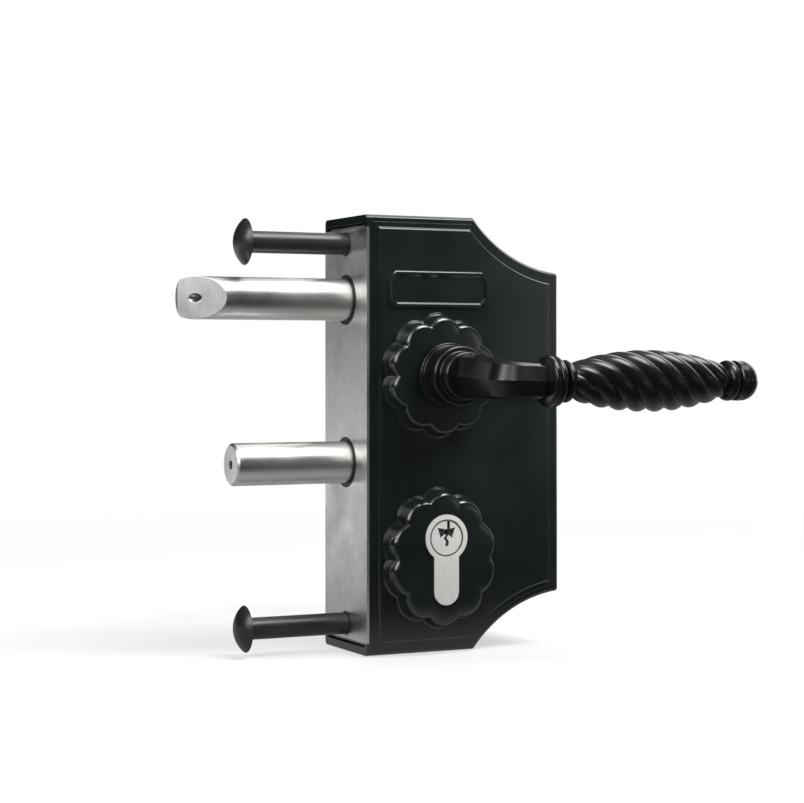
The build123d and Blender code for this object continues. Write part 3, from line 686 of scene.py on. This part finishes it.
def cylinder_opening():
    """Outline of the profile cylinder with its gap."""
    radius = cylinder_radius + cylinder_gap
    half = cylinder_stem + cylinder_gap
    turn = math.degrees(math.asin(half / radius))
    head = arc((spindle_x, plug_z), radius, -90 + turn, 270 - turn, opening_head_steps)
    foot = arc((spindle_x, plug_z - cylinder_foot_drop), half, 180, 360, opening_foot_steps)
    return head + foot


def make_rosettes():
    hole = arc((spindle_x, spindle_z), bush_hole, 0, 360, bush_hole_steps)[:-1]
    lever = rosette(spindle_z, 0.0, hole)
    cylinder_z = plug_z - cylinder_rosette_drop
    cylinder = rosette(cylinder_z, cylinder_rosette_stretch, cylinder_opening())
    for side, mirrored in (("front", False), ("back", True)):
        for kind, shape in (("lever", lever), ("cylinder", cylinder)):
            mesh_piece(f"{side}_{kind}_rosette_dressed", [shape], "case",
                       [f"{side}_{kind}_rosette"], "case_coat", mirrored, crease=40)


def make_name_frame():
    """Rounded bead round the name panel, laid over the plain one. It is a closed ring."""
    half_x, half_z = name_frame_half
    middle_z = spindle_z + rosette_radius + rosette_draft + rosette_foot + name_frame_gap + half_z
    rings = []
    for inset, height in name_bead:
        wide, tall = half_x - inset, half_z - inset
        cut = name_frame_corner - inset * (2 - math.sqrt(2))
        quarter = [(wide, tall - cut), (wide - cut, tall)]
        loop = quarter + [(-x, z) for x, z in reversed(quarter)]
        loop += [(x, -z) for x, z in reversed(loop)]
        rings.append([(name_frame_x + x, -(panel_y + height), middle_z + z) for x, z in loop])
    points, faces = skin(rings, cap_start=False, cap_end=False)
    count = len(rings[0])
    last = len(points) - count
    for i in range(count):
        j = (i + 1) % count
        faces.append((last + i, last + j, j, i))
    mesh_piece("name_frame_bead", [(points, faces)], "case", [], "case_coat", crease=25)


def hub_profile():
    """Journal, flange, ring and foot. Each corner gives distance, radius and rounding."""
    corners = [
        (panel_y, 0.0, 0.0),
        (panel_y, journal_radius, 0.0),
        (flange_y, journal_radius, 0.0),
        (flange_y, flange_radius, 0.3),
        (ring_y, flange_radius, 0.5),
        (ring_y, ring_radius, 0.4),
        (foot_y, ring_radius, 1.6),
        (foot_y, foot_radius, 0.5),
        (neck_y, foot_radius, 1.0),
        (neck_y, 0.0, 0.0),
    ]
    profile = rounded(corners, hub_round_steps)
    profile[0] = (profile[0][0], point_radius)
    profile[-1] = (profile[-1][0], point_radius)
    return profile


def parting_lines():
    """Thin ridges that the casting mould leaves at mid-height on the hub and the collars."""
    sections = ((-parting_root, -parting_half), (parting_proud, -parting_half),
                (parting_proud, parting_half), (-parting_root, parting_half))
    least = foot_radius - parting_foot_dip
    hub = [(y, radius) for y, radius in hub_profile() if y > ring_y and radius > least]
    collars = collar_profile()[2:-2]
    ridges = []
    for side in (-1, 1):
        ridges.append(skin([
            [(spindle_x + side * (radius + out), -y, spindle_z + up) for out, up in sections]
            for y, radius in hub]))
        ridges.append(skin([
            [(x, -grip_y + side * (radius + out), grip_z + up) for out, up in sections]
            for x, radius in collars]))
    return ridges


def neck_section(share):
    """Eight-sided section with softened corners, from the root (0) to the shank's end (1)."""
    eased = share * share * (3 - 2 * share)
    w = (neck_root[0] + (neck_tip[0] - neck_root[0]) * eased) / 2
    h = (neck_root[1] + (neck_tip[1] - neck_root[1]) * eased) / 2
    fw = w * neck_facet[0]
    fh = h * neck_facet[1]
    corners = [(w, 0), (fw, fh), (0, h), (-fw, fh), (-w, 0), (-fw, -fh), (0, -h), (fw, -fh)]
    drop = lever_drop * eased
    section = rounded(corners, neck_round_steps, neck_edge_round, closed=True)
    return [(u, v - drop) for u, v in section]


def lever_arm():
    """Neck out of the panel, quarter bend and short shank."""
    straight = grip_y - bend_radius - foot_y
    total = straight + bend_radius * math.pi / 2 + shank_length
    even = total * neck_even_share
    stations = [(distance, 0.0) for distance in (0.0, even, (even + straight) / 2)]
    stations += [(straight + bend_radius * math.pi / 2 * i / bend_steps, math.pi / 2 * i / bend_steps)
                 for i in range(bend_steps + 1)]
    stations += [(total - shank_length * share, math.pi / 2) for share in (0.5, 0.0)]
    rings = []
    for distance, angle in stations:
        on_bend = straight + bend_radius * angle
        x = spindle_x + bend_radius * (1 - math.cos(angle))
        y = grip_y - bend_radius * (1 - math.sin(angle))
        if distance <= straight:
            y = foot_y + distance
        else:
            x += max(0.0, distance - on_bend)
        share = max(0.0, (distance - even) / (total - even))
        ring = []
        for u, v in neck_section(share):
            ring.append((x + u * math.cos(angle), -(y - u * math.sin(angle)), spindle_z + v))
        rings.append(ring)
    return skin(rings)


def bead(middle, radius, half, steps=10):
    """Half-round bead on a turned profile."""
    points = []
    for i in range(steps + 1):
        angle = math.pi * (1 - i / steps)
        low = half * bead_squash * (1 - math.sin(angle))
        points.append((middle + half * math.cos(angle), radius - low))
    return points


def collar_profile():
    """Double collar and single collar between the shank and the grip."""
    start = spindle_x + bend_radius + shank_length - core_overlap
    middle = spindle_x + double_collar_x
    single = spindle_x + single_collar_x
    end = spindle_x + grip_start + core_overlap
    valley = grip_end_radius * (1 - 2 * strand_groove)
    first_rise, second_rise = collar_shoulders
    profile = [(start, point_radius), (start, core_radius)]
    profile += bead(middle - collar_bead, double_collar_radius, collar_bead)
    profile += bead(middle + collar_bead, double_collar_radius, collar_bead)
    profile += [(middle + 2 * collar_bead + collar_gap, core_radius + first_rise)]
    profile += [(single - collar_bead - collar_gap, core_radius + second_rise)]
    profile += bead(single, single_collar_radius, collar_bead)
    profile += [(single + collar_bead + collar_gap, core_radius)]
    profile += [(end, valley), (end, point_radius)]
    return profile


def grip_radius(x):
    """Crest radius of the grip, full in the middle and slender at both ends."""
    start = spindle_x + grip_start
    peak = start + grip_length * grip_peak
    if x < peak:
        share = (peak - x) / (peak - start)
    else:
        share = (x - peak) / (start + grip_length - peak)
    swell = max(0.0, math.cos(math.pi / 2 * share)) ** grip_swell
    return grip_end_radius + (grip_crest - grip_end_radius) * swell


def twisted_grip():
    """Rounded strands in a right-handed twist that swells and closes again."""
    start = spindle_x + grip_start
    step = 2 * math.pi / strands
    rings = []
    for n in range(grip_steps + 1):
        x = start + grip_length * n / grip_steps
        crest = grip_radius(x)
        valley = crest * (1 - strand_groove)
        half = valley * math.sin(step / 2)
        rise = crest - valley * math.cos(step / 2)
        back = (half * half + rise * rise) / (2 * rise)
        spread = math.asin(half / back)
        twist = math.radians(twist_phase) + 2 * math.pi * (x - start) / twist_lead
        ring = []
        for i in range(strands):
            turn = twist + i * step
            for k in range(strand_steps):
                angle = spread * (2 * k / strand_steps - 1)
                out = crest - back * (1 - math.cos(angle))
                across = back * math.sin(angle)
                y = out * math.cos(turn) - across * math.sin(turn)
                z = out * math.sin(turn) + across * math.cos(turn)
                ring.append((x, -grip_y + y, grip_z + z))
        rings.append(ring)
    return skin(rings)


def grip_end():
    """Bead, narrow band and dome past the grip."""
    grip_x = spindle_x + grip_start + grip_length
    foot = dome_radius - dome_groove / 3
    round_x = dome_x + dome_start
    profile = [(-core_overlap, point_radius), (-core_overlap, core_radius)]
    profile += [(end_core_x, core_radius - end_core_step)]
    profile += bead(end_ring_x, end_ring_radius, end_ring_half, end_ring_steps)[1:]
    profile += [(band_x, end_ring_radius - 2 * dome_groove), (band_x + band_width, foot)]
    profile += [(dome_x - dome_shoulder, dome_radius), (dome_x, dome_radius - dome_groove)]
    profile += [(round_x, foot)]
    for i in range(1, dome_steps + 1):
        angle = math.pi / 2 * i / dome_steps
        profile.append((round_x + (dome_end_x - round_x) * math.sin(angle),
                        foot * math.cos(angle) + point_radius))
    return turned_x([(grip_x + place, radius) for place, radius in profile])


def make_levers():
    parts = [turned_y(hub_profile(), spindle_x, spindle_z), lever_arm(), turned_x(collar_profile())]
    parts += [twisted_grip(), grip_end(), *parting_lines()]
    for side, mirrored in (("front", False), ("back", True)):
        mesh_piece(f"{side}_lever_dressed", parts, "lever_set", [f"{side}_lever"],
                   "lever_coat", mirrored, crease=26)


def socket_screw(top, ahead, across, length, shank, head, sink):
    """Countersunk screw with a six-sided socket, from the middle of its head's top."""
    side = ahead.cross(across)
    third = math.pi / 3

    def ring(depth, radius, six_sided=False):
        points = []
        for i in range(screw_steps):
            angle = 2 * math.pi * i / screw_steps
            reach = radius
            if six_sided:
                reach = radius / math.cos((angle + third / 2) % third - third / 2)
            out = across * (reach * math.cos(angle)) + side * (reach * math.sin(angle))
            points.append(tuple(top - ahead * depth + out))
        return points

    rings = [ring(length, point_radius), ring(length, shank - socket_lip)]
    rings += [ring(length - socket_lip, shank), ring(sink, shank)]
    rings += [ring(2 * socket_lip, head), ring(socket_lip, head - socket_lip / 2)]
    rings += [ring(0, head - socket_lip), ring(0, socket_half + socket_lip, True)]
    rings += [ring(socket_lip, socket_half, True)]
    rings += [ring(socket_depth, socket_half, True), ring(socket_depth, point_radius)]
    return skin(rings)


def make_screws():
    """Case screws on the back, the screw through the free side and the two set screws."""
    out, up, right = Vector((0, 1, 0)), Vector((0, 0, 1)), Vector((1, 0, 0))
    case = [socket_screw(Vector((x, panel_y, z)), out, right, **case_screw_shape)
            for x, z in case_screw_places]
    side_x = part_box("front_case")[1].x / MM
    top = Vector((side_x, 0, plug_z - cylinder_screw_drop))
    cross = socket_screw(top, right, up, **cylinder_screw_shape)
    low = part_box("lever_set_screws")[0]
    ring_middle_y = (ring_y + foot_y) / 2
    tips = [Vector((spindle_x, y, low.z / MM)) for y in (-ring_middle_y, ring_middle_y)]
    grubs = [socket_screw(tip, -up, right, **set_screw_shape) for tip in tips]
    for node, parts, body, slot in (
        ("case_screws", case, "case", "stainless"),
        ("cylinder_fixing_screw", [cross], "case", "zinc_steel"),
        ("lever_set_screws", grubs, "lever_set", "black_steel"),
    ):
        mesh_piece(f"{node}_dressed", parts, body, [node], slot)


def make_latch_spring():
    """Spring behind the latch, of round wire.

    Its first and last coil are closed: with half a wire at each end they take three wires' length.
    """
    low, high = (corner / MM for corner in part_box("latch_spring"))
    middle_z = (low.z + high.z) / 2
    winding = (high.z - low.z - spring_wire) / 2
    open_length = high.x - low.x - 3 * spring_wire
    wire = arc((winding, 0), spring_wire / 2, 0, 360, spring_wire_steps)[:-1]
    rings = []
    for n in range(spring_coils * spring_steps + 1):
        turns = n / spring_steps
        closed = min(turns, 1) + max(0, turns - spring_coils + 1)
        opened = min(max((turns - 1) / (spring_coils - 2), 0), 1)
        x = low.x + spring_wire * (0.5 + closed) + open_length * opened
        angle = 2 * math.pi * turns
        rings.append([(x + ahead, out * math.cos(angle), middle_z + out * math.sin(angle))
                      for out, ahead in wire])
    spring = mesh_piece("latch_spring_dressed", [skin(rings)], "case", ["latch_spring"], "stainless")
    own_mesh(spring)


def make_stage():
    """Pale floor that keeps the shadow near the lock and goes over into the white background."""
    bpy.ops.mesh.primitive_plane_add(size=floor_size, location=(0, 0, cad_box[0].z - floor_gap))
    floor = bpy.context.object
    floor.name = "floor"
    finish = Finish("floor")
    finish.shade("Base Color", (floor_grey, floor_grey, floor_grey, 1))
    finish.shade("Roughness", 0.9)
    finish.shade("Specular IOR Level", 0.0)
    plain = finish.shader.outputs["BSDF"]
    glow, white, dark, pale = (finish.node("ShaderNodeEmission", Strength=level).outputs["Emission"]
                               for level in (glow_level, 1.0, dark_level, pale_level))
    place = finish.place()
    forward = finish.split(place)["Y"]
    reach = finish.node("ShaderNodeVectorMath", operation="LENGTH")
    finish.feed(place, reach.inputs[0])
    near = finish.node("ShaderNodeAddShader")
    for shader, entry in zip((plain, glow), near.inputs):
        finish.feed(shader, entry)
    distant = finish.glide(reach.outputs["Value"], *white_from)
    seen = finish.mix_shaders(distant, near.outputs["Shader"], white)
    ahead = finish.mix_shaders(finish.glide(forward, *pale_from), dark, pale)
    mirrored = finish.mix_shaders(finish.glide(forward, *mirror_white_from), ahead, white)
    others = finish.mix_shaders(finish.mirror_rays(), plain, mirrored)
    shown = finish.mix_shaders(finish.camera_rays(), others, seen)
    finish.feed(shown, finish.nodes["Material Output"].inputs["Surface"])
    floor.data.materials.append(finish.material)


def mirror_panel(tree, turn, height, middle, half, low, high, level, blur=panel_blur):
    """Level of one bright panel of the studio, 0 beside it."""
    away = tree.math("ABSOLUTE", tree.math("SUBTRACT", turn, middle))
    across = tree.glide(away, half - blur, half + blur, level, 0.0)
    above = tree.glide(height, low - panel_edge_blur, low + panel_edge_blur, 0.0, 1.0)
    below = tree.glide(height, high - panel_edge_blur, high + panel_edge_blur, 1.0, 0.0)
    return tree.math("MULTIPLY", tree.math("MULTIPLY", across, above), below)


def make_world():
    """White for the camera, the studio for what mirrors it, and a dim even light for the rest."""
    world = bpy.data.worlds.new("studio")
    bpy.context.scene.world = world
    tree = Tree(world)
    tree.nodes.clear()
    split = tree.split(tree.node("ShaderNodeTexCoord").outputs["Generated"])
    turn = tree.math("ARCTAN2", split["X"], tree.math("MULTIPLY", split["Y"], -1.0))
    studio = tree.glide(split["Z"], *sky_from, *sky_levels)
    for panel in studio_panels:
        studio = tree.math("MAXIMUM", studio, mirror_panel(tree, turn, split["Z"], **panel))
    lights = []
    for level in (ambient_level, studio, 1.0):
        light = tree.node("ShaderNodeBackground", Color=(1, 1, 1, 1))
        tree.feed(level, light.inputs["Strength"])
        lights.append(light.outputs["Background"])
    ambient, mirrored, white = lights
    others = tree.mix_shaders(tree.mirror_rays(), ambient, mirrored)
    shown = tree.mix_shaders(tree.camera_rays(), others, white)
    tree.feed(shown, tree.node("ShaderNodeOutputWorld").inputs["Surface"])


def make_lights():
    """Area lamps that face the lock."""
    for name, (place, size, power, mirrored) in lamps.items():
        lamp = bpy.data.lights.new(name, "AREA")
        lamp.shape = "RECTANGLE"
        lamp.size, lamp.size_y = size
        lamp.energy = power
        holder = bpy.data.objects.new(name, lamp)
        bpy.context.scene.collection.objects.link(holder)
        holder.visible_glossy = mirrored
        holder.location = place
        holder.rotation_euler = (Vector(lamp_aim) - Vector(place)).to_track_quat("-Z", "Y").to_euler()


def make_camera():
    """The photograph's view: level, at the lock's front left, with the frame set a little low."""
    camera = bpy.data.cameras.new("photo_view")
    camera.lens = camera_lens
    camera.shift_y = camera_shift
    camera.clip_start = 0.01
    camera.clip_end = 50.0
    holder = bpy.data.objects.new("photo_view", camera)
    bpy.context.scene.collection.objects.link(holder)
    holder.location = camera_place
    holder.rotation_euler = (math.radians(90), 0, math.radians(camera_turn))
    bpy.context.scene.camera = holder


dress_cad()
make_name_frame()
make_rosettes()
make_levers()
make_screws()
make_latch_spring()
make_stage()
make_world()
make_lights()
make_camera()
bpy.context.scene.view_settings.view_transform = "Standard"
